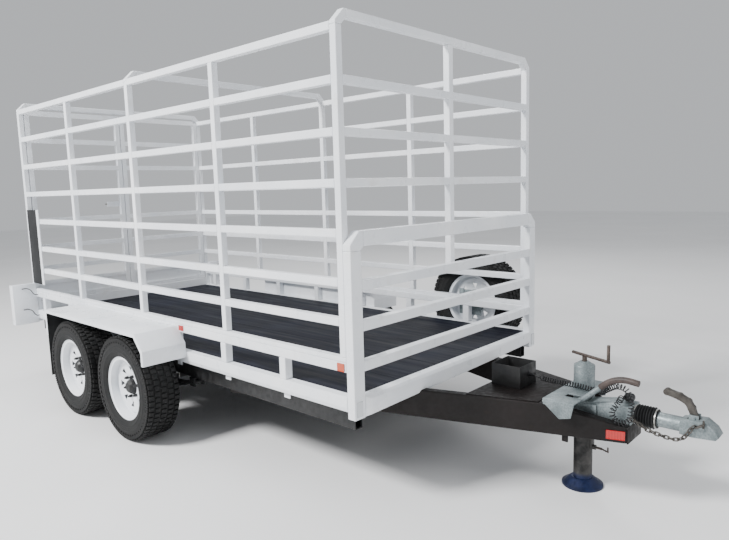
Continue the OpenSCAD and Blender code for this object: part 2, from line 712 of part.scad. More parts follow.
// Steel rim with a dished disc: eight triangular windows and six stud holes
module rim() color("#f0f2f4") {
    b = bead_r;
    rotate_extrude($fn = 96) polygon([
        [b - 4, -lip_z + 6], [rim_r - 4, -lip_z + 6], [rim_r, -lip_z], [rim_r, -lip_z + 8],
        [b, -lip_z + 12], [b, -40], [b - 16, -30], [b - 16, 20], [b, 34], [b, lip_z - 12],
        [rim_r, lip_z - 8], [rim_r, lip_z], [rim_r - 4, lip_z - 6], [b - 4, lip_z - 6],
        [b - 4, 36], [b - 20, 22], [b - 20, -32], [b - 4, -42]]);
    difference() {
        rotate_extrude($fn = 96) polygon([
            [b - 20, 8], [b - 22, disc_z], [142, disc_z], [90, disc_hub_z], [55, disc_hub_z],
            [55, disc_hub_z - 4], [88, disc_hub_z - 4], [140, disc_z - 5], [b - 28, disc_z - 5],
            [b - 25, 8]]);
        for (i = [0:7]) rotate(i * 45) translate([0, 0, -5]) linear_extrude(lip_z)
            polygon([[96, 0], [134, 20], [134, -20]]);
        for (i = [0:5]) rotate(i * 60 + 15) translate([69.85, 0, 0]) cylinder(h = lip_z, r = 8);
    }
}

// Brake drum and hub on the spindle, with studs, nuts and a dust cap
module hub() color("#1c1d1f") {
    bore = spindle_r + run_fit;
    difference() {
        union() {
            cylinder(h = disc_hub_z - 4.3, r = 84);
            translate([0, 0, -46]) cylinder(h = 50, r = 44);
        }
        translate([0, 0, -50]) cylinder(h = 120, r = bore);
    }
    difference() {
        translate([0, 0, -48]) cylinder(h = 70, r = 128);
        translate([0, 0, -49]) cylinder(h = 64, r = 120);
        translate([0, 0, -50]) cylinder(h = 100, r = 84 + eps);
    }
    for (i = [0:5]) rotate(i * 60 + 15) translate([69.85, 0, disc_hub_z - 4.3])
        cylinder(h = 30, r = 6);
    for (i = [0:5]) rotate(i * 60 + 15) translate([69.85, 0, disc_hub_z + 0.3]) difference() {
        cylinder(h = 16, r = 11, $fn = 6);
        translate([0, 0, -1]) cylinder(h = 18, r = 6 + eps);
    }
    rotate_extrude() polygon([[44, disc_hub_z - 4.3], [44, disc_hub_z + 18], [30, disc_hub_z + 34],
        [0.5, disc_hub_z + 36], [0.5, disc_hub_z + 32], [28, disc_hub_z + 30],
        [40, disc_hub_z + 16], [40, disc_hub_z - 4.3]]);
}

module tyre_front_right() on_axle(front_x, -1) tyre();
module tyre_front_left() on_axle(front_x, 1) tyre();
module tyre_rear_right() on_axle(rear_x, -1) tyre();
module tyre_rear_left() on_axle(rear_x, 1) tyre();
module rim_front_right() on_axle(front_x, -1) rim();
module rim_front_left() on_axle(front_x, 1) rim();
module rim_rear_right() on_axle(rear_x, -1) rim();
module rim_rear_left() on_axle(rear_x, 1) rim();
module hub_front_right() on_axle(front_x, -1) hub();
module hub_front_left() on_axle(front_x, 1) hub();
module hub_rear_right() on_axle(rear_x, -1) hub();
module hub_rear_left() on_axle(rear_x, 1) hub();

// Spare wheel: its outboard face looks at the crate's left side
module on_spare() placed() translate([spare_x, spare_y, spare_z]) rotate([90, 0, 0]) children();
module spare_tyre() on_spare() tyre();
module spare_rim() on_spare() rim();

// Posts and a cross plate on the left body rail, with studs through the spare's disc
module spare_carrier() placed() color("#dfe2e5") {
    y = spare_y - disc_hub_z + 4.3;
    for (dx = [-70, 70])
        block([spare_x + dx - 20, half_w + 12, crate_z0 - 44], [spare_x + dx + 20, half_w + 18,
            spare_z + 100]);
    for (dx = [-70, 70])
        block([spare_x + dx - 20, half_w, crate_z0 - 44], [spare_x + dx + 20, half_w + 12,
            crate_z0 - 6]);
    block([spare_x - 92, half_w + 18, spare_z - 92], [spare_x + 92, half_w + 24, spare_z + 92]);
    rod([spare_x, half_w + 24, spare_z], along_y, y - half_w - 28.6, 40);
    rod([spare_x, y - 4.6, spare_z], along_y, 0.3, 84);
    for (i = [0:5]) rotate_about(i * 60 + 15) rod([spare_x + 69.85, half_w + 24, spare_z],
        along_y, y - half_w - 24 + 22, 6);
    for (i = [0:5]) rotate_about(i * 60 + 15) difference() {
        translate([spare_x + 69.85, y + 0.6, spare_z]) rotate(along_y)
            cylinder(h = 16, r = 11, $fn = 6);
        rod([spare_x + 69.85, y - 1, spare_z], along_y, 30, 6 + eps);
    }
}
module rotate_about(a) translate([spare_x, 0, spare_z]) rotate([0, -a, 0])
    translate([-spare_x, 0, -spare_z]) children();

// Coupling ------------------------------------------------------------------------------

module coupling_casing() placed() color("#a9b1b4") {
    z0 = rail_z1 + 8;
    top = z0 + 84;
    difference() {
        profile(-casing_half, casing_half) polygon([[casing_x0, z0], [casing_x0, z0 + 62],
            [casing_x1 - 110, top], [casing_x1, top], [casing_x1, z0]]);
        profile(5 - casing_half, casing_half - 5) polygon([[casing_x0 - 1, z0 + 5],
            [casing_x0 - 1, z0 + 57], [casing_x1 - 111, top - 5], [guide_x0, top - 5],
            [guide_x0, z0 + 5]]);
        rod([guide_x0 - 1, 0, draw_z], along_x, 40, draw_r + run_fit);
    }
    // side plate that carries the brake lever
    block([lever_pos.x - 26, -casing_half - 8, z0], [casing_x0 + 60, -casing_half, z0 + 66]);
    rod([lever_pos.x, lever_y - 12, lever_pos.y], along_y, -casing_half - lever_y + 12, 8);
}

module jack_bracket() placed() color("#aab2b5") {
    x0 = tip_x - 364;
    y = frame_half(x0) + 1;
    z = frame_top + 31;
    difference() {
        block([x0, -y - 5, z - 5], [x0 + 160, y + 5, z]);
        rod([jack_x, jack_y, z - 10], [0, 0, 0], 20, jack_r);
        // slot that the brake lever swings in
        block([lever_pos.x - 26, lever_y - 22, z - 6], [x0 + 161, lever_y + 22, z + 1]);
    }
    both_sides() block([x0, y - 45, frame_top], [x0 + 12, y, z - 5]);
    both_sides() profile(y, y + 5) polygon([[x0, z - 5], [x0, z - 18], [x0 + 86, z - 88],
        [x0 + 144, z - 72], [x0 + 159, z - 5]]);
}

// Draw tube, neck and head in one piece; the socket opens downwards
module draw_tube() placed() color("#b3babd") {
    difference() {
        union() {
            rod([draw_x0, 0, draw_z], along_x, neck_x - draw_x0, draw_r);
            rod([neck_x, 0, draw_z], along_x, nose_x - 156 - neck_x, 34);
            profile(-42, 42) translate([nose_x, draw_z]) polygon([[-158, 32], [-109, 40],
                [-59, 44], [-18, 15], [0, -16], [-12, -29], [-108, -37], [-158, -32]]);
        }
        rod([casing_x0, 0, draw_z], along_x, neck_x - casing_x0 + 30, draw_r - 6);
        translate([socket_x, 0, draw_z]) sphere(r = ball_r, $fn = 64);
        rod([socket_x, 0, draw_z - 50], [0, 0, 0], 50, ball_r);
        // pocket for the latch handle's boss
        block([latch_pos.x - 30, -14, latch_pos.y - 18], [latch_pos.x + 22, 14, latch_pos.y + 20]);
    }
    // ears and pin of the latch handle
    both_sides() block([latch_pos.x - 20, 15, draw_z + 26], [latch_pos.x + 20, 23, latch_pos.y + 14]);
    rod([latch_pos.x, -30, latch_pos.y], along_y, 60, 7);
}

module bellows() placed() color("#111213") {
    folds = 6;
    flange = 8;
    len = neck_x - casing_x1 - 0.6;
    step = (len - flange) / folds;
    outer = [for (i = [0:folds - 1]) each [[draw_r + 13, i * step + 1], [draw_r + 22, i * step + step / 2]]];
    translate([casing_x1 + 0.3, 0, draw_z]) rotate(along_x) rotate_extrude() polygon(concat(
        [[draw_r + 0.4, 0], [draw_r + 13, 0]], outer, [[draw_r + 13, len - flange],
        [draw_r + 21, len - flange], [draw_r + 21, len], [draw_r + 0.4, len],
        [draw_r + 0.4, len - 4], [draw_r + 10, len - 6], [draw_r + 10, 6], [draw_r + 0.4, 4]]));
}

module latch_handle() placed() color("#a7aeb1") profile(-13, 13) difference() {
    strap([latch_pos, latch_pos + [-14, 40], latch_pos + [-30, 66], latch_pos + [-66, 84],
           latch_pos + [-118, 96]], 28);
    translate(latch_pos) circle(r = 7 + run_fit);
}

module brake_lever() placed() {
    p = lever_pos;
    color("#a9b0b3") {
        profile(lever_y - 5, lever_y + 5) difference() {
            strap([p, p + [44, 40]], 30);
            translate(p) circle(r = 8 + run_fit);
        }
        translate([p.x + 30, lever_y, p.y + 27]) rotate([0, 48, 0]) cylinder(h = 150, r = 13);
    }
    start = [p.x + 30 + 150.3 * sin(48), lever_y, p.y + 27 + 150.3 * cos(48)];
    color("#5b4a42") hose([start, start + [34, 0, 30], start + [74, 0, 50], start + [120, 0, 58],
                           start + [180, 0, 52]], 15, 5, 24, [0, 1, 0]);
}

// Jack ----------------------------------------------------------------------------------

module jack_tube() placed() color("#9fa7a9") translate([jack_x, jack_y, 0]) {
    difference() {
        translate([0, 0, jack_low]) cylinder(h = jack_top - jack_low, r = jack_r);
        translate([0, 0, jack_low - 1]) cylinder(h = jack_top - jack_low - 5, r = jack_r - 5);
        translate([0, 0, jack_top - 20]) cylinder(h = 40, r = 12 + run_fit);
    }
    translate([0, 0, jack_top]) difference() {
        cylinder(h = 18, r1 = jack_r - 6, r2 = 22);
        translate([0, 0, -1]) cylinder(h = 30, r = 12 + run_fit);
    }
}

// Leg with its foot and the housing of the spring pin
module jack_leg() placed() translate([jack_x, jack_y, 0]) {
    leg_r = jack_r - 5 - 0.1;
    color("#5d6466") difference() {
        union() {
            translate([0, 0, foot_h - 8]) cylinder(h = leg_top - foot_h + 8, r = leg_r);
            rod([leg_r - 6, 0, pin_z], along_x, 26, 13);
            block([leg_r - 8, -15, pin_z - 10], [leg_r + 6, 15, pin_z + 60]);
        }
        translate([0, 0, foot_h]) cylinder(h = jack_top, r = jack_r - 11);
        rod([0, 0, pin_z], along_x, 100, 6 + run_fit);
    }
    color("#26304f") {
        cylinder(h = 8, r = foot_r);
        difference() {
            translate([0, 0, 8]) cylinder(h = foot_h - 10, r1 = foot_r - 4, r2 = jack_r + 4);
            translate([0, 0, 8 - eps]) cylinder(h = foot_h - 12, r1 = foot_r - 9, r2 = jack_r - 1);
            translate([0, 0, foot_h - 8 - eps]) cylinder(h = 20, r = leg_r);
        }
    }
}

module jack_crank() placed() color("#6f5a52") translate([jack_x, jack_y, 0]) {
    translate([0, 0, jack_low - 60]) cylinder(h = crank_z - 6 - jack_low + 60, r = 12);
    translate([0, 0, crank_z]) rotate(crank_turn) {
        rod([-82, 0, 0], along_x, 244, 8);
        rod([154, 0, 0], [0, 0, 0], 84, 8);
    }
}

// Spring pin that locks the leg, with a hooked pull
module jack_pin() placed() color("#8d9496") translate([jack_x, jack_y, pin_z]) {
    rod([jack_r - 12, 0, 0], along_x, 60, 6);
    rod([jack_r + 44, 0, 0], [0, 105, 0], 38, 4);
    rod([jack_r + 44 + 34 * sin(105), 0, 34 * cos(105)], [0, 0, 0], 24, 4);
}

// Chain and cord ------------------------------------------------------------------------

module safety_chain() placed() color("#8b8f92") hose(chain_route, chain_r, 4, 8, [0, 1, 0]);

module curly_cord() placed() color("#0d0e10") hose(cord_route, cord_r, 4, 8, [0, 1, 0.05]);

// Plug at the cord's end: a collar and a body with a flat cap, lying on the casing
module cord_plug() placed() color("#191a1c") {
    end = cord_route[len(cord_route) - 1];
    translate(end + [1, 1, -1]) rotate([-100, 0, -10]) {
        cylinder(h = 22, r = 11);
        translate([0, 0, 21.5]) cylinder(h = 40, r = 19);
        translate([-20, -19, 40]) cube([40, 38, 5]);
    }
}

chassis_frame();
side_rails();
floor();
body_rails();
headboard();
front_beam();
rear_frame();
crate_right();
crate_left();
crate_hoops();
crate_front_grid();
rubber_strip();
gate_right();
gate_left();
gate_hinges();
gate_bolt();
fender_right();
fender_left();
mud_flaps();
light_housings();
light_lenses();
light_cables();
plate_bracket();
reflectors();
drawbar();
drawbar_plates();
drawbar_tray();
spring_hangers();
leaf_springs();
rockers();
axles();
u_bolts();
tyre_front_right();
tyre_front_left();
tyre_rear_right();
tyre_rear_left();
rim_front_right();
rim_front_left();
rim_rear_right();
rim_rear_left();
hub_front_right();
hub_front_left();
hub_rear_right();
hub_rear_left();
spare_tyre();
spare_rim();
spare_carrier();
coupling_casing();
jack_bracket();
draw_tube();
bellows();
latch_handle();
brake_lever();
jack_tube();
jack_leg();
jack_crank();
jack_pin();
safety_chain();
curly_cord();
cord_plug();
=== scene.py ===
import json
import math
import bpy
from mathutils import Matrix, Vector


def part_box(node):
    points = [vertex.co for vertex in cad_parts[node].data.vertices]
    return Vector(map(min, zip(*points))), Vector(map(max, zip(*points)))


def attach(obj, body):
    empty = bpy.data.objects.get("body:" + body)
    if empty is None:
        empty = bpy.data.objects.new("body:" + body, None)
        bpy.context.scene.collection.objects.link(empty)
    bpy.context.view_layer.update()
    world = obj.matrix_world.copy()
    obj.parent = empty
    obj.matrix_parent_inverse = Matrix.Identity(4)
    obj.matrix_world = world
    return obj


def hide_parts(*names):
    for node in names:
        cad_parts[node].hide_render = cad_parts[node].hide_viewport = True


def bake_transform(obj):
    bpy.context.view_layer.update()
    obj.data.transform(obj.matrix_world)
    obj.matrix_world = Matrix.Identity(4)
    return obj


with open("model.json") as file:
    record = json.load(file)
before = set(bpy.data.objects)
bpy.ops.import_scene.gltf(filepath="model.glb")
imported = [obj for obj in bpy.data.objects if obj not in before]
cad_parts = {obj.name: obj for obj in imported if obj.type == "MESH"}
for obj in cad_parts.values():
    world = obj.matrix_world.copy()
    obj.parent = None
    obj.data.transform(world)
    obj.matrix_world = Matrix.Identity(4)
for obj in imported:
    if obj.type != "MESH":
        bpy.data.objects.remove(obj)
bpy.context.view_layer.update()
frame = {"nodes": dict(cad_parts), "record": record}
nodes = frame["nodes"]
behaviour = frame["record"]["behaviour"]
bodyOf = {node: body for body, group in behaviour["bodies"].items() for node in group}


# ---- view ----

camera = {
    "place": (3.2926, -2.9569, 1.5684),
    "forward": (-0.6705, 0.7304, -0.1303),
    "right": (0.7389, 0.6732, -0.0281),
    "lens": 30.75,
}


def addCamera():
    data = bpy.data.cameras.new("camera")
    data.lens = camera["lens"]
    data.sensor_width = 36
    data.clip_end = 200
    eye = bpy.data.objects.new("camera", data)
    bpy.context.collection.objects.link(eye)
    forward = Vector(camera["forward"]).normalized()
    right = Vector(camera["right"])
    right = (right - forward * right.dot(forward)).normalized()
    up = right.cross(forward)
    turn = Matrix((right, up, -forward)).transposed().to_4x4()
    eye.matrix_world = Matrix.Translation(camera["place"]) @ turn
    bpy.context.scene.camera = eye


addCamera()
print("camera set")


# ---- helpers ----

def linear(code):
    parts = [int(code[i:i + 2], 16) / 255 for i in (0, 2, 4)]
    return tuple(c / 12.92 if c <= 0.04045 else ((c + 0.055) / 1.055) ** 2.4 for c in parts) + (1.0,)


def addNode(tree, kind, settings=None, inputs=None):
    node = tree.nodes.new(kind)
    for key, value in (settings or {}).items():
        setattr(node, key, value)
    for key, value in (inputs or {}).items():
        if isinstance(value, bpy.types.NodeSocket):
            tree.links.new(value, node.inputs[key])
        else:
            node.inputs[key].default_value = value
    return node


def deselect():
    active = bpy.context.view_layer.objects.active
    if active and active.mode != "OBJECT":
        bpy.ops.object.mode_set(mode="OBJECT")
    bpy.ops.object.select_all(action="DESELECT")


def pick(*pieces):
    deselect()
    for piece in pieces:
        piece.select_set(True)
    bpy.context.view_layer.objects.active = pieces[0]


def settle(piece):                       # the piece's place goes into its mesh
    pick(piece)
    bpy.ops.object.transform_apply(location=True, rotation=True, scale=True)


def applyModifiers(piece):
    pick(piece)
    for modifier in list(piece.modifiers):
        bpy.ops.object.modifier_apply(modifier=modifier.name)


def bevelled(piece, width, segments=2, angle=35):
    modifier = piece.modifiers.new("roundedEdges", "BEVEL")
    modifier.width = width
    modifier.segments = segments
    modifier.limit_method = "ANGLE"
    modifier.angle_limit = math.radians(angle)
    applyModifiers(piece)


def joined(pieces):
    pick(*pieces)
    if len(pieces) > 1:
        bpy.ops.object.join()
    return bpy.context.view_layer.objects.active


def placed(piece, name, material, body, standsFor=()):
    piece.name = name
    piece.data.name = name
    piece.data.materials.clear()
    piece.data.materials.append(material)
    if body:                             # a piece that is blended across a joint rides on none
        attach(piece, body)
    if standsFor:
        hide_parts(*standsFor)
    return piece


def mergedCopy(node):
    piece = bpy.data.objects.new(node + "_copy", nodes[node].data.copy())
    bpy.context.collection.objects.link(piece)
    pick(piece)
    bpy.ops.object.mode_set(mode="EDIT")
    bpy.ops.mesh.select_all(action="SELECT")
    bpy.ops.mesh.remove_doubles(threshold=0.00001)
    bpy.ops.mesh.dissolve_limited(angle_limit=math.radians(0.6))
    bpy.ops.object.mode_set(mode="OBJECT")
    return piece


def roundedBars(node, radius, material):  # each straight bar gets the soft corners of rolled tube
    piece = mergedCopy(node)
    pick(piece)
    bpy.ops.object.mode_set(mode="EDIT")
    bpy.ops.mesh.select_all(action="SELECT")
    bpy.ops.mesh.separate(type="LOOSE")
    bpy.ops.object.mode_set(mode="OBJECT")
    bars = list(bpy.context.selected_objects)
    for bar in bars:
        pick(bar)
        bpy.ops.object.mode_set(mode="EDIT")
        bpy.ops.mesh.select_all(action="SELECT")
        bpy.ops.mesh.convex_hull()
        bpy.ops.mesh.dissolve_limited(angle_limit=math.radians(0.6))
        bpy.ops.object.mode_set(mode="OBJECT")
    whole = joined(bars)
    bevelled(whole, radius)
    return placed(whole, node + "_steel", material, bodyOf[node], [node])


def softened(node, width, material, angle=35, smooth=35, segments=2):
    piece = mergedCopy(node)
    if width:
        bevelled(piece, width, segments, angle)
    pick(piece)
    bpy.ops.object.shade_smooth_by_angle(angle=math.radians(smooth))
    return placed(piece, node + "_finished", material, bodyOf[node], [node])


def spun(outline, steps, at, axis):      # closed outline of (radius, along) turned about an axis
    mesh = bpy.data.meshes.new("outline")
    count = len(outline)
    mesh.from_pydata([(r, 0, z) for r, z in outline], [(i, (i + 1) % count) for i in range(count)], [])
    piece = bpy.data.objects.new("outline", mesh)
    bpy.context.collection.objects.link(piece)
    pick(piece)
    bpy.ops.object.mode_set(mode="EDIT")
    bpy.ops.mesh.select_all(action="SELECT")
    bpy.ops.mesh.spin(steps=steps, angle=math.tau, center=(0, 0, 0), axis=(0, 0, 1))
    bpy.ops.mesh.select_all(action="SELECT")
    bpy.ops.mesh.remove_doubles(threshold=0.00002)
    bpy.ops.mesh.normals_make_consistent(inside=False)
    bpy.ops.object.mode_set(mode="OBJECT")
    piece.matrix_world = Matrix.Translation(at) @ Vector(axis).to_track_quat("Z", "Y").to_matrix().to_4x4()
    settle(piece)
    return piece


# ---- materials ----

def newMaterial(name, roughness, metallic=0.0, ior=1.5):
    material = bpy.data.materials.new(name)
    material.use_nodes = True
    tree = material.node_tree
    tree.nodes.clear()
    shader = addNode(tree, "ShaderNodeBsdfPrincipled")
    shader.inputs["Roughness"].default_value = roughness
    shader.inputs["Metallic"].default_value = metallic
    if not metallic:
        shader.inputs["IOR"].default_value = ior
    addNode(tree, "ShaderNodeOutputMaterial", inputs={"Surface": shader.outputs[0]})
    where = addNode(tree, "ShaderNodeTexCoord").outputs["Object"]
    return material, tree, shader, where


def speckled(tree, where, scale, low, high, colours, detail=4.0, roughness=0.55):
    grain = addNode(tree, "ShaderNodeTexNoise", inputs={
        "Vector": where, "Scale": scale, "Detail": detail, "Roughness": roughness})
    ramp = addNode(tree, "ShaderNodeValToRGB", inputs={"Fac": grain.outputs["Fac"]})
    ramp.color_ramp.elements[0].position = low
    ramp.color_ramp.elements[0].color = linear(colours[0])
    ramp.color_ramp.elements[1].position = high
    ramp.color_ramp.elements[1].color = linear(colours[1])
    return ramp.outputs["Color"]


def mixed(tree, share, first, second):
    mix = addNode(tree, "ShaderNodeMix", {"data_type": "RGBA"})
    for socket, value in ((mix.inputs[0], share), (mix.inputs[6], first), (mix.inputs[7], second)):
        if isinstance(value, bpy.types.NodeSocket):
            tree.links.new(value, socket)
        else:
            socket.default_value = value
    return mix.outputs[2]


def spread(tree, source, low, high, outLow, outHigh):
    return addNode(tree, "ShaderNodeMapRange", inputs={
        "Value": source, "From Min": low, "From Max": high, "To Min": outLow, "To Max": outHigh}
    ).outputs["Result"]


def raised(tree, shader, height, strength, distance):
    bump = addNode(tree, "ShaderNodeBump", inputs={
        "Height": height, "Strength": strength, "Distance": distance})
    tree.links.new(bump.outputs["Normal"], shader.inputs["Normal"])


def makeEnamel():                        # sprayed white enamel on steel: glossy, light orange peel, dust
    material, tree, shader, where = newMaterial("whiteEnamelOnSteel", 0.3)
    base = speckled(tree, where, 2.2, 0.35, 0.7, ("e9edf2", "fbfcfe"))
    dust = addNode(tree, "ShaderNodeTexNoise", inputs={"Vector": where, "Scale": 9.0, "Detail": 8.0})
    share = spread(tree, dust.outputs["Fac"], 0.58, 0.8, 0.0, 0.35)
    tree.links.new(mixed(tree, share, base, linear("cfcbc4")), shader.inputs["Base Color"])
    tree.links.new(spread(tree, dust.outputs["Fac"], 0.3, 0.8, 0.22, 0.5), shader.inputs["Roughness"])
    peel = addNode(tree, "ShaderNodeTexNoise", inputs={"Vector": where, "Scale": 260.0, "Detail": 1.0})
    raised(tree, shader, peel.outputs["Fac"], 0.08, 0.0006)
    return material


def makeDeck():                          # dark sealed plywood deck: fine wire print, lighter lengthwise streaks
    material, tree, shader, where = newMaterial("filmFacedPlywoodDeck", 0.65, 0.0, 1.3)
    base = speckled(tree, where, 3.0, 0.4, 0.7, ("070914", "0f1322"))
    # lighter bluish streaks along the deck's length, which also make it rougher
    streak = addNode(tree, "ShaderNodeMapping", inputs={"Vector": where, "Scale": (1.0, 14.0, 1.0)})
    deckStreaks = addNode(tree, "ShaderNodeTexNoise", inputs={
        "Vector": streak.outputs[0], "Scale": 1.6, "Detail": 6.0})
    share = spread(tree, deckStreaks.outputs["Fac"], 0.5, 0.78, 0.0, 0.3)
    tree.links.new(mixed(tree, share, base, linear("1f2333")), shader.inputs["Base Color"])
    tree.links.new(spread(tree, deckStreaks.outputs["Fac"], 0.3, 0.8, 0.55, 0.8), shader.inputs["Roughness"])
    wires = addNode(tree, "ShaderNodeTexVoronoi", {"distance": "CHEBYCHEV"}, {
        "Vector": where, "Scale": 160.0, "Randomness": 0.0})   # 6 mm anti-slip grid
    raised(tree, shader, wires.outputs["Distance"], 0.25, 0.0008)
    return material


def makeSatinBlack():                    # brushed-on chassis black: satin, a little road film
    material, tree, shader, where = newMaterial("chassisBlackPaint", 0.5)
    base = speckled(tree, where, 7.0, 0.4, 0.75, ("0f1012", "222120"), 7.0)
    tree.links.new(base, shader.inputs["Base Color"])
    film = addNode(tree, "ShaderNodeTexNoise", inputs={"Vector": where, "Scale": 30.0, "Detail": 5.0})
    tree.links.new(spread(tree, film.outputs["Fac"], 0.3, 0.75, 0.35, 0.7), shader.inputs["Roughness"])
    raised(tree, shader, film.outputs["Fac"], 0.12, 0.0008)
    return material


def makeDrawbarPaint():                  # dark brown-black paint, faded and dusty
    material, tree, shader, where = newMaterial("fadedBrownBlackPaint", 0.6, 0.0, 1.36)
    base = speckled(tree, where, 5.0, 0.38, 0.72, ("100c0b", "1b1514"), 8.0)
    grit = addNode(tree, "ShaderNodeTexNoise", inputs={"Vector": where, "Scale": 42.0, "Detail": 8.0})
    share = spread(tree, grit.outputs["Fac"], 0.6, 0.8, 0.0, 0.5)
    tree.links.new(mixed(tree, share, base, linear("2e2622")), shader.inputs["Base Color"])
    tree.links.new(spread(tree, grit.outputs["Fac"], 0.3, 0.8, 0.4, 0.75), shader.inputs["Roughness"])
    raised(tree, shader, grit.outputs["Fac"], 0.15, 0.0008)
    return material


def makeGalvanised():                    # hot-dip zinc: dull grey-green, 8 mm spangle, chalky patches
    material, tree, shader, where = newMaterial("hotDipZincOnCastSteel", 0.5, 0.55)
    spangle = addNode(tree, "ShaderNodeTexVoronoi", inputs={"Vector": where, "Scale": 120.0})
    cells = addNode(tree, "ShaderNodeValToRGB", inputs={"Fac": spangle.outputs["Distance"]})
    cells.color_ramp.elements[0].color = linear("737f82")
    cells.color_ramp.elements[1].color = linear("969fa1")
    cells.color_ramp.elements[1].position = 0.8
    chalk = addNode(tree, "ShaderNodeTexNoise", inputs={"Vector": where, "Scale": 16.0, "Detail": 7.0})
    share = spread(tree, chalk.outputs["Fac"], 0.45, 0.7, 0.0, 0.6)
    tree.links.new(mixed(tree, share, cells.outputs["Color"], linear("5f6a6c")), shader.inputs["Base Color"])
    tree.links.new(spread(tree, chalk.outputs["Fac"], 0.3, 0.75, 0.36, 0.66), shader.inputs["Roughness"])
    raised(tree, shader, chalk.outputs["Fac"], 0.12, 0.0015)
    return material


def makeBrightZinc():                    # plated fasteners and chain: brighter, yellowing in patches
    material, tree, shader, where = newMaterial("zincPlatedSteel", 0.35, 1.0)
    base = speckled(tree, where, 60.0, 0.4, 0.7, ("9c9a92", "c9ccce"), 5.0)
    tree.links.new(base, shader.inputs["Base Color"])
    wear = addNode(tree, "ShaderNodeTexNoise", inputs={"Vector": where, "Scale": 140.0, "Detail": 4.0})
    tree.links.new(spread(tree, wear.outputs["Fac"], 0.3, 0.7, 0.25, 0.5), shader.inputs["Roughness"])
    return material


def makeTyreRubber():                    # weathered tyre rubber: near black, chalky on the sidewalls
    material, tree, shader, where = newMaterial("weatheredTyreRubber", 0.8)
    base = speckled(tree, where, 12.0, 0.4, 0.75, ("08090a", "141312"), 8.0)
    tree.links.new(base, shader.inputs["Base Color"])
    grain = addNode(tree, "ShaderNodeTexNoise", inputs={"Vector": where, "Scale": 320.0, "Detail": 3.0})
    tree.links.new(spread(tree, grain.outputs["Fac"], 0.3, 0.7, 0.68, 0.9), shader.inputs["Roughness"])
    raised(tree, shader, grain.outputs["Fac"], 0.2, 0.0006)
    return material


def makeSheetRubber():                   # reinforced sheet rubber: matte with a faint cloth print
    material, tree, shader, where = newMaterial("reinforcedSheetRubber", 0.7)
    base = speckled(tree, where, 6.0, 0.4, 0.7, ("121315", "222324"), 5.0)
    tree.links.new(base, shader.inputs["Base Color"])
    cloth = addNode(tree, "ShaderNodeTexWave", {"bands_direction": "DIAGONAL"}, {
        "Vector": where, "Scale": 120.0, "Distortion": 0.6})   # 2.6 mm ribs
    raised(tree, shader, cloth.outputs["Fac"], 0.15, 0.0006)
    return material


def makeBlackPvc():                      # cable sheath and plug: smooth black PVC with handling marks
    material, tree, shader, where = newMaterial("blackPvcSheath", 0.38)
    base = speckled(tree, where, 40.0, 0.4, 0.75, ("0f1012", "232427"), 4.0)
    tree.links.new(base, shader.inputs["Base Color"])
    marks = addNode(tree, "ShaderNodeTexNoise", inputs={"Vector": where, "Scale": 200.0, "Detail": 3.0})
    tree.links.new(spread(tree, marks.outputs["Fac"], 0.3, 0.7, 0.28, 0.5), shader.inputs["Roughness"])
    return material


def makeLens(name, colours, glow):       # moulded acrylic lens with 4 mm prisms behind a gloss face
    material, tree, shader, where = newMaterial(name, 0.16)
    prisms = addNode(tree, "ShaderNodeTexVoronoi", {"distance": "MANHATTAN"}, {
        "Vector": where, "Scale": 250.0, "Randomness": 0.0})
    tone = addNode(tree, "ShaderNodeValToRGB", inputs={"Fac": prisms.outputs["Distance"]})
    tone.color_ramp.elements[0].color = linear(colours[0])
    tone.color_ramp.elements[1].color = linear(colours[1])
    tree.links.new(tone.outputs["Color"], shader.inputs["Base Color"])
    shader.inputs["Coat Weight"].default_value = 0.6
    shader.inputs["Coat Roughness"].default_value = 0.05
    shader.inputs["Emission Color"].default_value = linear(colours[1])
    shader.inputs["Emission Strength"].default_value = glow
    raised(tree, shader, prisms.outputs["Distance"], 0.3, 0.001)
    return material


def makeGrip():                          # moulded brown vinyl grip, scuffed
    material, tree, shader, where = newMaterial("mouldedVinylGrip", 0.55)
    base = speckled(tree, where, 26.0, 0.35, 0.7, ("2f2724", "51443f"), 6.0)
    tree.links.new(base, shader.inputs["Base Color"])
    scuffs = addNode(tree, "ShaderNodeTexNoise", inputs={"Vector": where, "Scale": 180.0, "Detail": 4.0})
    raised(tree, shader, scuffs.outputs["Fac"], 0.15, 0.0006)
    return material


def makeRustedSteel():                   # bare crank handle: brown surface rust over dull steel
    material, tree, shader, where = newMaterial("surfaceRustedSteel", 0.6, 0.35)
    base = speckled(tree, where, 90.0, 0.35, 0.65, ("38302b", "5f544e"), 6.0)
    tree.links.new(base, shader.inputs["Base Color"])
    pits = addNode(tree, "ShaderNodeTexNoise", inputs={"Vector": where, "Scale": 300.0, "Detail": 3.0})
    tree.links.new(spread(tree, pits.outputs["Fac"], 0.3, 0.7, 0.45, 0.75), shader.inputs["Roughness"])
    raised(tree, shader, pits.outputs["Fac"], 0.25, 0.0006)
    return material


def makeShadedLeg():                       # jack leg: galvanised steel painted dark grey as painted shade, with painted ground shade in dark blue low down
    material, tree, shader, where = newMaterial("shadedJackSteel", 0.45, 0.5)
    # the dark grey is painted shade on the galvanised leg
    steel = speckled(tree, where, 22.0, 0.35, 0.7, ("2c2c2c", "545250"), 7.0)
    height = addNode(tree, "ShaderNodeSeparateXYZ", inputs={"Vector": where}).outputs["Z"]
    # below 55 to 75 mm the leg turns dark blue: painted ground shade round the foot
    groundShadeBlue = speckled(tree, where, 18.0, 0.35, 0.7, ("141c36", "222e54"), 6.0)
    share = spread(tree, height, 0.055, 0.075, 1.0, 0.0)
    tree.links.new(mixed(tree, share, steel, groundShadeBlue), shader.inputs["Base Color"])
    film = addNode(tree, "ShaderNodeTexNoise", inputs={"Vector": where, "Scale": 60.0, "Detail": 5.0})
    tree.links.new(spread(tree, film.outputs["Fac"], 0.3, 0.7, 0.35, 0.6), shader.inputs["Roughness"])
    return material


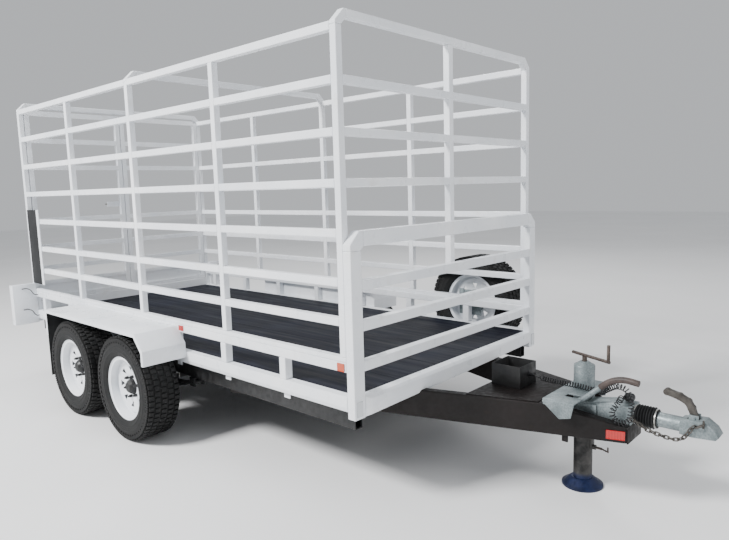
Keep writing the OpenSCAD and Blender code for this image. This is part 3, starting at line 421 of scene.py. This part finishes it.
def makeWornZinc():                      # handled lever: zinc dulled to brown-grey by grease and dirt
    material, tree, shader, where = newMaterial("greasyZincOnForgedSteel", 0.5, 0.4)
    base = speckled(tree, where, 28.0, 0.35, 0.7, ("3b3733", "5f5b56"), 7.0)
    tree.links.new(base, shader.inputs["Base Color"])
    grime = addNode(tree, "ShaderNodeTexNoise", inputs={"Vector": where, "Scale": 110.0, "Detail": 4.0})
    tree.links.new(spread(tree, grime.outputs["Fac"], 0.3, 0.7, 0.38, 0.7), shader.inputs["Roughness"])
    raised(tree, shader, grime.outputs["Fac"], 0.15, 0.0008)
    return material


enamel = makeEnamel()
deckFilm = makeDeck()
satinBlack = makeSatinBlack()
drawbarPaint = makeDrawbarPaint()
galvanised = makeGalvanised()
brightZinc = makeBrightZinc()
tyreRubber = makeTyreRubber()
sheetRubber = makeSheetRubber()
blackPvc = makeBlackPvc()
redLens = makeLens("redAcrylicLens", ("7c0705", "c8140c"), 0.0)
amberLens = makeLens("amberAcrylicLens", ("8e2c04", "cf4a0e"), 0.0)
clearLens = makeLens("clearAcrylicLens", ("b4b8bc", "e6e9ec"), 0.0)
grip = makeGrip()
rustedSteel = makeRustedSteel()
shadedLeg = makeShadedLeg()
wornZinc = makeWornZinc()
print("materials made")


# ---- cord ----

curlyCord = {
    "route": [(486, 0, 560), (540, -2, 556), (600, -6, 552), (680, -8, 552), (752, -8, 552),
              (820, -10, 548), (880, -24, 552), (924, -48, 580), (966, -62, 604),
              (1010, -72, 602), (1038, -84, 570), (1046, -92, 526)],
    "ring": {"middle": (1002, -97, 484), "radius": 42, "step": -37.5, "points": 7},   # one open turn
    "end": [(985, -78, 537), (983, -46, 546), (988, -14, 541)],
    "shift": 1269,                       # from the crate's front to the trailer's middle, mm
    "sheath": 5.0,                       # cable diameter, mm
    "coil": 12.2,                        # radius of the coil's middle line, mm
    "pitch": 13.5,                       # from turn to turn along the drawbar, mm
    "loosePitch": 16.0,                  # and where the last loop pulls the coil open
    "endPitch": 50.0,                    # added at both ends, where the coil straightens out
    "step": 0.62,                        # between the helix's points, mm
    "straight": 36,                      # plain cable at the start, inside the strain relief, mm
    "fade": 36,                          # over which the helix opens out at each end, mm
    "routeSteps": 40,                    # smoothing points between two route points
    "coilEnds": -4,                      # the route point from which the coil hangs loose
}
strainRelief = {
    "length": 0.034,
    "wide": 0.0115,                      # radius at the tray's wall
    "thin": 0.0042,                      # and at the tip
    "bore": 0.0031,
    "flange": 0.003,                     # how far the flange stands out, and its thickness
    "rings": 7,
    "ringDepth": 0.0012,
}


def throughPoints(points, steps):        # smooth curve through the route's points
    line = []
    last = len(points) - 1
    for i in range(last):
        a, b = points[max(i - 1, 0)], points[i]
        c, d = points[i + 1], points[min(i + 2, last)]
        for k in range(steps):
            t = k / steps
            line.append(0.5 * (2 * b + (c - a) * t + (2 * a - 5 * b + 4 * c - d) * t * t
                               + (3 * b - a - 3 * c + d) * t ** 3))
    line.append(points[last])
    return line


def evenly(line, gap):
    spots = [line[0]]
    left = gap
    for a, b in zip(line, line[1:]):
        span = (b - a).length
        at = 0.0
        while span - at >= left:
            at += left
            spots.append(a.lerp(b, at / span))
            left = gap
        left -= span - at
    return spots


def tubeCurve(name, points, diameter, smooth=4):
    curve = bpy.data.curves.new(name, "CURVE")
    curve.dimensions = "3D"
    curve.bevel_depth = diameter / 2
    curve.bevel_resolution = smooth
    curve.use_fill_caps = True
    spline = curve.splines.new("POLY")
    spline.points.add(len(points) - 1)
    for point, place in zip(spline.points, points):
        point.co = (*place, 1)
    spline.use_smooth = True
    piece = bpy.data.objects.new(name, curve)
    bpy.context.collection.objects.link(piece)
    return piece


def makeCurlyCord():
    middle, radius = curlyCord["ring"]["middle"], curlyCord["ring"]["radius"]
    angles = [math.radians(curlyCord["ring"]["step"] * i) for i in range(curlyCord["ring"]["points"])]
    ring = [(middle[0] + radius * math.cos(a), middle[1], middle[2] + radius * math.sin(a)) for a in angles]
    route = [Vector(p) + Vector((curlyCord["shift"], 0, 0))
             for p in curlyCord["route"] + ring + curlyCord["end"]]
    gap = curlyCord["step"]
    line = evenly(throughPoints(route, curlyCord["routeSteps"]), gap)
    last = len(line) - 1
    side = Vector((0, 1, 0))
    points = []
    turn = 0.0
    opening = curlyCord["route"][curlyCord["coilEnds"]][0] + curlyCord["shift"]
    loose = 0.0
    for i, spot in enumerate(line):
        along = (line[min(i + 3, last)] - line[max(i - 3, 0)]).normalized()
        side = (side - along * side.dot(along)).normalized()
        third = along.cross(side)
        grow = min(1.0, (i * gap - curlyCord["straight"]) / curlyCord["fade"],
                   (last - i) * gap / curlyCord["fade"])
        if spot.x > opening:
            loose = 1.0
        pitch = curlyCord["pitch"] + (curlyCord["loosePitch"] - curlyCord["pitch"]) * loose
        pitch += curlyCord["endPitch"] * (1 - max(grow, 0.0))
        turn += math.tau * gap / pitch
        offset = side * math.cos(turn) + third * math.sin(turn)
        points.append((spot + offset * curlyCord["coil"] * max(grow, 0.0)) / 1000)
    cable = tubeCurve("curlyCord", points, curlyCord["sheath"] / 1000, 2)
    cable.data.materials.append(blackPvc)
    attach(cable, bodyOf["curly_cord"])
    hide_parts("curly_cord")
    makeStrainRelief(points[0])


def makeStrainRelief(start):             # ribbed taper moulded round the cable at the tray's wall
    wide, thin, bore = strainRelief["wide"], strainRelief["thin"], strainRelief["bore"]
    flange, depth = strainRelief["flange"], strainRelief["ringDepth"]
    length = strainRelief["length"]
    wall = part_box("drawbar_tray")[1][0]
    outline = [(bore, 0.0), (wide + flange, 0.0), (wide + flange, flange), (wide, flange)]
    for i in range(strainRelief["rings"]):   # shallow rings let the taper bend
        at = 0.005 + (length - 0.007) * i / (strainRelief["rings"] - 1)
        radius = wide + (thin - wide) * at / length
        outline += [(radius, at), (radius - depth, at + 0.0014), (radius - depth, at + 0.0026)]
    outline += [(thin, length), (bore, length)]
    relief = spun(outline, 32, (wall, start[1], start[2]), (1, 0, 0))
    pick(relief)
    bpy.ops.object.shade_smooth_by_angle(angle=math.radians(30))
    placed(relief, "cordStrainRelief", blackPvc, bodyOf["drawbar_tray"])
    return relief


makeCurlyCord()
print("cord made")


# ---- steel bars ----

cornerRadius = {                         # outer corner of each rolled tube, metres
    "crate_right": 0.004, "crate_left": 0.004, "crate_hoops": 0.004, "crate_front_grid": 0.004,
    "headboard": 0.005, "front_beam": 0.003, "rear_frame": 0.004, "body_rails": 0.005,
    "side_rails": 0.003, "gate_right": 0.003, "gate_left": 0.003,
}
for node, radius in cornerRadius.items():
    roundedBars(node, radius, enamel)
roundedBars("drawbar", 0.006, drawbarPaint)
print("bars rounded")

softFinish = {                           # edge softening of each single piece, metres
    "spare_carrier": (0.001, galvanised), "coupling_casing": (0.0025, galvanised),
    "jack_bracket": (0.0015, galvanised), "draw_tube": (0.002, galvanised),
    "latch_handle": (0.006, wornZinc),
    "jack_tube": (0.002, galvanised), "jack_leg": (0.0015, shadedLeg), "jack_crank": (0.001, rustedSteel),
    "jack_pin": (0.001, rustedSteel), "drawbar_plates": (0.002, drawbarPaint),
    "drawbar_tray": (0.0015, satinBlack), "light_housings": (0.001, enamel),
    "rim_front_right": (0.0012, enamel), "rim_front_left": (0.0012, enamel),
    "rim_rear_right": (0.0012, enamel), "rim_rear_left": (0.0012, enamel), "spare_rim": (0.0012, enamel),
    "hub_front_right": (0.0008, satinBlack), "hub_front_left": (0.0008, satinBlack),
    "hub_rear_right": (0.0008, satinBlack), "hub_rear_left": (0.0008, satinBlack),
    "light_cables": (0.0, blackPvc), "mud_flaps": (0.001, sheetRubber),
    # the rubber strip is a dark sheet on the rear post's front face, where that face lies in shade: painted
    # shade
    "rubber_strip": (0.002, sheetRubber),
    "fender_right": (0.0008, enamel), "fender_left": (0.0008, enamel),
}
for node, (width, material) in softFinish.items():
    softened(node, width, material)
print("single pieces softened")


# ---- tyres ----

tyre = {
    "pitches": 60,                       # tread blocks round the tyre
    "treadDepth": 0.009,
    "rows": [(-0.086, 0.030, 0.0), (-0.045, 0.034, 0.5), (0.0, 0.034, 0.0),
             (0.045, 0.034, 0.5), (0.086, 0.030, 0.0)],   # place across, width, share of a pitch
    "blockLength": 0.026,
    "lug": (0.020, 0.010, 0.034),        # shoulder lug: round the tyre, outwards, down the wall
    "wallSteps": 96,
    "seat": 0.0157,                      # how far the bead sits inside the rim's lip
    "lipGap": 0.0004,
    "smooth": 28,                        # edges sharper than this stay sharp, degrees
    "rimLip": (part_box("rim_front_right")[1][2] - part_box("rim_front_right")[0][2]) / 2,
}


def boxPiece(place, size, turn=(0, 0, 0)):
    bpy.ops.mesh.primitive_cube_add(size=1, location=place, rotation=turn, scale=size)
    return bpy.context.object


def makeTread(radius, width):            # one pitch of blocks, then copied round
    deselect()
    pitch = math.tau / tyre["pitches"]
    middle = radius - tyre["treadDepth"] / 2 - 0.001
    blocks = []
    for across, wide, share in tyre["rows"]:
        turn = share * pitch
        blocks.append(boxPiece((middle * math.sin(turn), across, middle * math.cos(turn)),
                               (tyre["blockLength"], wide, tyre["treadDepth"] + 0.002), (0, turn, 0)))
    long, thick, down = tyre["lug"]
    for side in (-1, 1):
        for share, reach in ((0.0, 1.0), (0.5, 0.62)):
            turn = share * pitch
            drop = radius - 0.012 - down * reach / 2
            place = (drop * math.sin(turn), side * (width / 2 - thick * 0.75), drop * math.cos(turn))
            blocks.append(boxPiece(place, (long * 0.7, thick, down * reach), (0, turn, 0)))
    tread = joined(blocks)
    settle(tread)
    bevelled(tread, 0.0016, 1)
    turner = bpy.data.objects.new("turner", None)
    bpy.context.collection.objects.link(turner)
    turner.rotation_euler = (0, pitch, 0)
    array = tread.modifiers.new("roundTheTyre", "ARRAY")
    array.use_relative_offset = False
    array.use_object_offset = True
    array.offset_object = turner
    array.count = tyre["pitches"]
    bpy.context.view_layer.update()
    applyModifiers(tread)
    bpy.data.objects.remove(turner)
    return tread


def makeTyre():                          # the model tyre stands at the origin, its axle along Y
    low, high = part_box("tyre_front_right")
    radius = (high[2] - low[2]) / 2
    half = (high[1] - low[1]) / 2
    bead = tyre["rimLip"] - tyre["seat"]
    lip = tyre["rimLip"] + tyre["lipGap"]
    crown = radius - tyre["treadDepth"]
    wall = [(bead, half - 0.031), (lip, half - 0.027), (lip, half - 0.017), (lip + 0.004, half - 0.0135),
            (lip + 0.010, half - 0.0085), (lip + 0.013, half - 0.0065), (lip + 0.016, half - 0.0065),
            (lip + 0.018, half - 0.0050), (lip + 0.034, half - 0.0018), (lip + 0.036, half - 0.0004),
            (lip + 0.040, half - 0.0004), (lip + 0.042, half - 0.0018), (lip + 0.062, half - 0.0016),
            (lip + 0.064, half - 0.0004), (lip + 0.067, half - 0.0004), (lip + 0.069, half - 0.0022),
            (lip + 0.086, half - 0.0050), (lip + 0.100, half - 0.0100), (crown - 0.013, half - 0.0150),
            (crown - 0.005, half - 0.0220), (crown, half - 0.0330), (crown + 0.001, half * 0.35)]
    inner = [(bead, half - 0.040), (lip + 0.010, half - 0.030), (radius * 0.8, half - 0.015),
             (radius - 0.024, half - 0.028), (radius - 0.020, half * 0.4)]
    outline = (wall + [(r, -y) for r, y in reversed(wall)]
               + [(r, -y) for r, y in inner] + list(reversed(inner)))
    carcass = spun(outline, tyre["wallSteps"], (0, 0, 0), (0, 1, 0))
    whole = joined([carcass, makeTread(radius, 2 * half)])
    pick(whole)
    bpy.ops.object.shade_smooth_by_angle(angle=math.radians(tyre["smooth"]))
    return whole


def fitTyres():
    model = makeTyre()
    for node in [name for name in nodes if name.startswith("tyre_") or name == "spare_tyre"]:
        low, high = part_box(node)
        copy = bpy.data.objects.new(node, model.data.copy())
        bpy.context.collection.objects.link(copy)
        copy.location = [(a + b) / 2 for a, b in zip(low, high)]
        settle(copy)
        placed(copy, node + "_moulded", tyreRubber, bodyOf[node], [node])
    bpy.data.objects.remove(model)


fitTyres()
print("tyres fitted")


# ---- chain and bellows ----

chain = {
    "route": [(1033.3, -68, 462), (1052, -70, 460), (1082, -66, 441), (1111, -62, 425),
              (1176, -60, 412), (1229, -60, 409), (1262, -60, 424), (1284, -58, 456),
              (1300, -54, 484), (1322, -53.3, 496)],
    "shift": 1269,
    "wire": 0.0032,                      # radius of the link's wire
    "bend": 0.0078,                      # radius of the link's round ends, to the wire's middle
    "straight": 0.0055,                  # half the length of the link's straight sides
}


def makeLink(wire, bend, straight, name):
    deselect()
    bpy.ops.mesh.primitive_torus_add(major_radius=bend, minor_radius=wire, major_segments=20,
                                     minor_segments=8, location=(0, 0, 0))
    link = bpy.context.object
    link.name = name
    bpy.ops.object.mode_set(mode="EDIT")
    bpy.ops.mesh.select_all(action="DESELECT")
    bpy.ops.object.mode_set(mode="OBJECT")
    for side in (1, -1):
        for vertex in link.data.vertices:
            vertex.select = vertex.co.x * side > 0.0002
        bpy.ops.object.mode_set(mode="EDIT")
        bpy.ops.transform.translate(value=(side * straight, 0, 0))
        bpy.ops.mesh.select_all(action="DESELECT")
        bpy.ops.object.mode_set(mode="OBJECT")
    bpy.ops.object.shade_smooth()
    return link


def makeChain():
    model = makeLink(chain["wire"], chain["bend"], chain["straight"], "chainLink")
    pitch = 2 * (chain["bend"] + chain["straight"] - chain["wire"])
    route = [(Vector(p) + Vector((chain["shift"], 0, 0))) / 1000 for p in chain["route"]]
    line = throughPoints(route, 30)
    spots = evenly(line, pitch)
    links = []
    for i, (a, b) in enumerate(zip(spots, spots[1:])):
        link = bpy.data.objects.new("link", model.data.copy())
        bpy.context.collection.objects.link(link)
        turn = (b - a).to_track_quat("X", "Z").to_matrix().to_4x4()
        roll = Matrix.Rotation(math.radians(45 + 90 * (i % 2) + 9 * math.sin(2.3 * i)), 4, "X")
        link.matrix_world = Matrix.Translation((a + b) / 2) @ turn @ roll
        links.append(link)
    bpy.data.objects.remove(model)
    whole = joined(links)
    settle(whole)
    placed(whole, "safetyChain", wornZinc, None, ["safety_chain"])
    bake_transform(whole)


shackle = {
    "wire": 0.0042, "bend": 0.0125, "straight": 0.006,
    "bowFromEnd": (0.004, 0.0, -0.004),  # from the chain's end to the bow's middle
    "pinFromEnd": (0.018, 0.0, 0.004),
    "lean": -30,                         # degrees
    "pinRadius": 0.0048, "pinLength": 0.030,
    "head": 0.006,                       # how far the pin's head stands out
}


def makeShackle():                       # bow shackle that holds the chain's last link to the head
    end = (Vector(chain["route"][-1]) + Vector((chain["shift"], 0, 0))) / 1000
    bow = makeLink(shackle["wire"], shackle["bend"], shackle["straight"], "shackleBow")
    bow.location = end + Vector(shackle["bowFromEnd"])
    bow.rotation_euler = (0, math.radians(shackle["lean"]), 0)
    settle(bow)
    deselect()
    bpy.ops.mesh.primitive_cylinder_add(vertices=20, radius=shackle["pinRadius"],
                                        depth=shackle["pinLength"],
                                        location=end + Vector(shackle["pinFromEnd"]))
    pin = bpy.context.object
    pick(pin)
    bpy.ops.object.mode_set(mode="EDIT")
    bpy.ops.mesh.select_all(action="DESELECT")
    bpy.ops.object.mode_set(mode="OBJECT")
    for face in pin.data.polygons:
        face.select = face.normal.z > 0.9
    bpy.ops.object.mode_set(mode="EDIT")
    bpy.ops.mesh.inset(thickness=0.001)
    bpy.ops.mesh.extrude_region_move(TRANSFORM_OT_translate={"value": (0, 0, shackle["head"])})
    bpy.ops.object.mode_set(mode="OBJECT")
    settle(pin)
    bevelled(pin, 0.0008, 2)
    whole = joined([bow, pin])
    placed(whole, "chainShackle", wornZinc, bodyOf["draw_tube"])


bellows = {
    "folds": 7,
    "foldSteps": 10,
    "collar": 0.009,                     # width of the plain collar at each end
    "crest": 0.052, "valley": 0.0415, "inside": 0.0385,   # radii
    "bandGap": 0.0032,                   # from the valley's radius out to the hose clip
    "band": [(0, 0), (0.0012, 0), (0.0016, 0.001), (0.0016, 0.006), (0.0012, 0.007), (0, 0.007)],
}


def makeBellows():                       # moulded gaiter: round pleats between two plain collars
    low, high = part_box("bellows")
    length = high[0] - low[0]
    middle = (low[0], (low[1] + high[1]) / 2, (low[2] + high[2]) / 2)
    pleated = length - 2 * bellows["collar"]
    outline = [(bellows["inside"] - 0.004, 0.0), (bellows["valley"] + 0.003, 0.0)]
    steps = bellows["folds"] * bellows["foldSteps"]
    swing = (bellows["crest"] - bellows["valley"]) / 2
    for i in range(steps + 1):
        turn = math.tau * bellows["folds"] * i / steps
        radius = bellows["valley"] + swing * (1 - math.cos(turn))
        outline.append((radius, bellows["collar"] + pleated * i / steps))
    outline += [(bellows["valley"] + 0.003, length), (bellows["inside"] - 0.004, length)]
    outline += [(bellows["inside"], length - bellows["collar"]), (bellows["inside"], bellows["collar"])]
    gaiter = spun(outline, 64, middle, (1, 0, 0))
    pick(gaiter)
    bpy.ops.object.shade_smooth_by_angle(angle=math.radians(40))
    placed(gaiter, "bellowsMoulded", sheetRubber, None, ["bellows"])
    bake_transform(gaiter)
    radius = bellows["valley"] + bellows["bandGap"]
    outline = [(radius + out, along) for out, along in bellows["band"]]
    clips = (("rearHoseClip", low[0] + 0.001, "trailer"), ("frontHoseClip", high[0] - 0.008, "draw"))
    for name, at, body in clips:
        band = spun(outline, 64, (at, middle[1], middle[2]), (1, 0, 0))
        placed(band, name, brightZinc, body)


makeChain()
makeShackle()
makeBellows()
print("chain and bellows made")


# ---- lamps and reflectors ----

def looseParts(node):
    piece = mergedCopy(node)
    pick(piece)
    bpy.ops.object.mode_set(mode="EDIT")
    bpy.ops.mesh.select_all(action="SELECT")
    bpy.ops.mesh.separate(type="LOOSE")
    bpy.ops.object.mode_set(mode="OBJECT")
    return list(bpy.context.selected_objects)


def middleOf(piece):
    corners = [Vector(corner) for corner in piece.bound_box]
    return sum(corners, Vector()) / 8


def framedFace(piece, normal, rim, depth):   # a lens: raised rim round a slightly sunk prism field
    pick(piece)
    bpy.ops.object.mode_set(mode="EDIT")
    bpy.ops.mesh.select_mode(type="FACE")
    bpy.ops.object.mode_set(mode="OBJECT")
    for face in piece.data.polygons:
        face.select = face.normal.dot(normal) > 0.9
    bpy.ops.object.mode_set(mode="EDIT")
    bpy.ops.mesh.inset(thickness=rim, depth=-depth)
    bpy.ops.object.mode_set(mode="OBJECT")


lampFace = {
    "rim": 0.006, "sunk": 0.002, "edge": 0.0018,
    "amberFrom": 0.34, "amberTo": 0.66,  # the indicator's share of the lamp's height
}
reflectorFace = {
    "rim": 0.004, "sunk": 0.0012, "edge": 0.0012,
    "nose": 0.2,                         # within this of the drawbar's tip they are red
    "post": 0.02,                        # and this near the headboard's face they are clear
    "amberFrom": 0.8,                    # forward of this place along the side they are amber
    "noseNormal": (0.31, 0.95),          # the drawbar's outer face, forward and sideways
}


def fitLenses():
    groups = {"red": [], "amber": []}
    for part in looseParts("light_lenses"):
        framedFace(part, Vector((-1, 0, 0)), lampFace["rim"], lampFace["sunk"])
        bevelled(part, lampFace["edge"])
        low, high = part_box("light_lenses")
        height = (middleOf(part).z - low[2]) / (high[2] - low[2])
        kind = "amber" if lampFace["amberFrom"] < height < lampFace["amberTo"] else "red"
        groups[kind].append(part)
    body = bodyOf["light_lenses"]
    placed(joined(groups["red"]), "tailLenses", redLens, body, ["light_lenses"])
    placed(joined(groups["amber"]), "indicatorLenses", amberLens, body, ["light_lenses"])


def fitReflectors():
    groups = {"red": [], "amber": [], "clear": []}
    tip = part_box("drawbar")[1][0]
    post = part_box("headboard")[1][0]
    forward, sideways = reflectorFace["noseNormal"]
    for part in looseParts("reflectors"):
        middle = middleOf(part)
        side = 1 if middle.y > 0 else -1
        if middle.x > tip - reflectorFace["nose"]:
            kind, face = "red", Vector((forward, sideways * side, 0))
        elif abs(middle.x - post) < reflectorFace["post"]:
            kind, face = "clear", Vector((1, 0, 0))
        else:
            kind = "amber" if middle.x > reflectorFace["amberFrom"] else "red"
            face = Vector((0, side, 0))
        framedFace(part, face, reflectorFace["rim"], reflectorFace["sunk"])
        bevelled(part, reflectorFace["edge"])
        groups[kind].append(part)
    for kind, material in (("red", redLens), ("amber", amberLens), ("clear", clearLens)):
        placed(joined(groups[kind]), kind + "Reflectors", material, bodyOf["reflectors"], ["reflectors"])


fitLenses()
fitReflectors()
print("lamps and reflectors fitted")


# ---- brake lever ----

def fitBrakeLever():                     # galvanised lever with a moulded grip over its end
    parts = looseParts("brake_lever")
    gripPart = max(parts, key=lambda part: middleOf(part).x)
    metal = [part for part in parts if part != gripPart]
    lever = joined(metal)
    bevelled(lever, 0.001)
    pick(lever)
    bpy.ops.object.shade_smooth_by_angle(angle=math.radians(35))
    placed(lever, "brakeLever", galvanised, bodyOf["brake_lever"], ["brake_lever"])
    bevelled(gripPart, 0.003, 3, 60)
    pick(gripPart)
    bpy.ops.object.shade_smooth_by_angle(angle=math.radians(50))
    placed(gripPart, "brakeLeverGrip", grip, bodyOf["brake_lever"], ["brake_lever"])


fitBrakeLever()
print("brake lever fitted")


# ---- carried-over nodes ----

finishOf = {
    "chassis_frame": satinBlack, "floor": deckFilm, "gate_hinges": brightZinc, "gate_bolt": brightZinc,
    "plate_bracket": satinBlack,
    "spring_hangers": satinBlack, "leaf_springs": satinBlack, "rockers": satinBlack, "axles": satinBlack,
    "u_bolts": brightZinc, "cord_plug": blackPvc,
}
for node, material in finishOf.items():
    holder = nodes[node]
    if not holder.material_slots:
        holder.data.materials.append(material)
    for slot in holder.material_slots:
        slot.material = material


# ---- stage ----

stage = {"size": 60.0, "sky": 0.62}
lights = {                               # place, what it is aimed at, size in metres, power in watts
    "keyLight": ((-2.0, -7.0, 7.0), (0.2, 0.0, 0.9), 2.0, 1500),
    "fillLight": ((8.0, 0.5, 4.5), (0.5, 0.0, 1.0), 3.0, 150),
    "backLight": ((-3.0, 7.0, 7.5), (0.0, 0.0, 1.0), 2.5, 260),
}


def makeStage():
    deselect()
    bpy.ops.mesh.primitive_plane_add(size=stage["size"], location=(0, 0, 0))
    floor = bpy.context.object
    floor.name = "studioFloor"
    material, tree, shader, where = newMaterial("paleStudioFloor", 0.9)
    tree.links.new(speckled(tree, where, 0.6, 0.3, 0.8, ("eeeeee", "f4f4f4")), shader.inputs["Base Color"])
    floor.data.materials.append(material)
    world = bpy.data.worlds.new("softSky")
    world.use_nodes = True
    background = world.node_tree.nodes["Background"]
    background.inputs["Color"].default_value = linear("f3f6fa")
    background.inputs["Strength"].default_value = stage["sky"]
    bpy.context.scene.world = world


def addLight(name, place, aim, size, power):
    data = bpy.data.lights.new(name, "AREA")
    data.size = size
    data.energy = power
    lamp = bpy.data.objects.new(name, data)
    bpy.context.collection.objects.link(lamp)
    lamp.location = place
    lamp.rotation_euler = (Vector(aim) - Vector(place)).to_track_quat("-Z", "Y").to_euler()


makeStage()
for name, (place, aim, size, power) in lights.items():
    addLight(name, place, aim, size, power)
print("stage set")

deselect()
